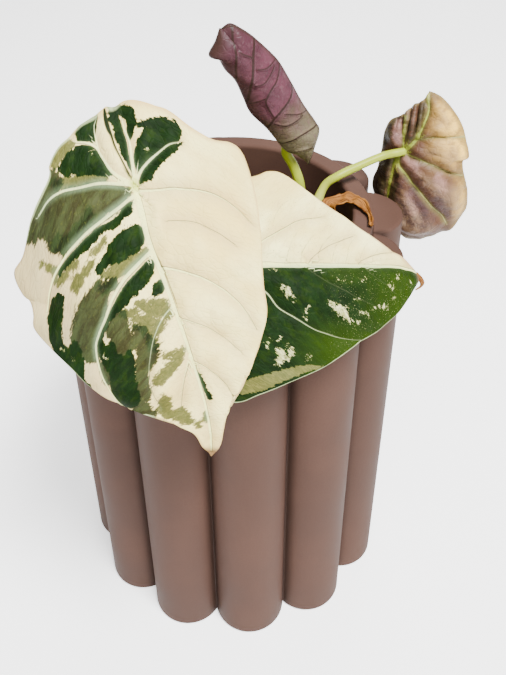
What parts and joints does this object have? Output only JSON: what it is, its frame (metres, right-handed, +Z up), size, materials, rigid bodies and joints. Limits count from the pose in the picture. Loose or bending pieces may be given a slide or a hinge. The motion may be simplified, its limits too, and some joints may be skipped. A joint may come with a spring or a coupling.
{
  "type": "potted variegated black velvet alocasia",
  "caption": "Young variegated aroid with heart-shaped cream and dark green leaves, standing in a matte ceramic pot of fused round columns.",
  "frame": {"origin": "centre of the planter's flat base", "axes": "+Z up along the planter's axis, -Y towards the front, where the two large leaves hang, +X to the right"},
  "size_m": [0.1412, 0.1408, 0.2191],
  "materials": {
    "ceramic": "matte, mauve-taupe",
    "soil": "dark, rough potting mix",
    "crown": "dull green-brown with leaf scars",
    "petiole": "smooth lime green",
    "blade_variegated": "velvety cream and dark green, marbled",
    "blade_bronze": "bronze-pink underside with lime green veins",
    "blade_purple": "satin purple with dark veins",
    "dried_sheath": "dry, brown and papery"
  },
  "bodies": {
    "root": {"planter": "ceramic", "soil": "soil", "crown": "crown", "petiole_front": "petiole", "petiole_side": "petiole", "petiole_young": "petiole", "petiole_small": "petiole", "blade_front": "blade_variegated", "blade_side": "blade_variegated", "blade_small": "blade_bronze", "blade_young": "blade_purple", "dried_sheath": "dried_sheath"}
  },
  "joints": []
}
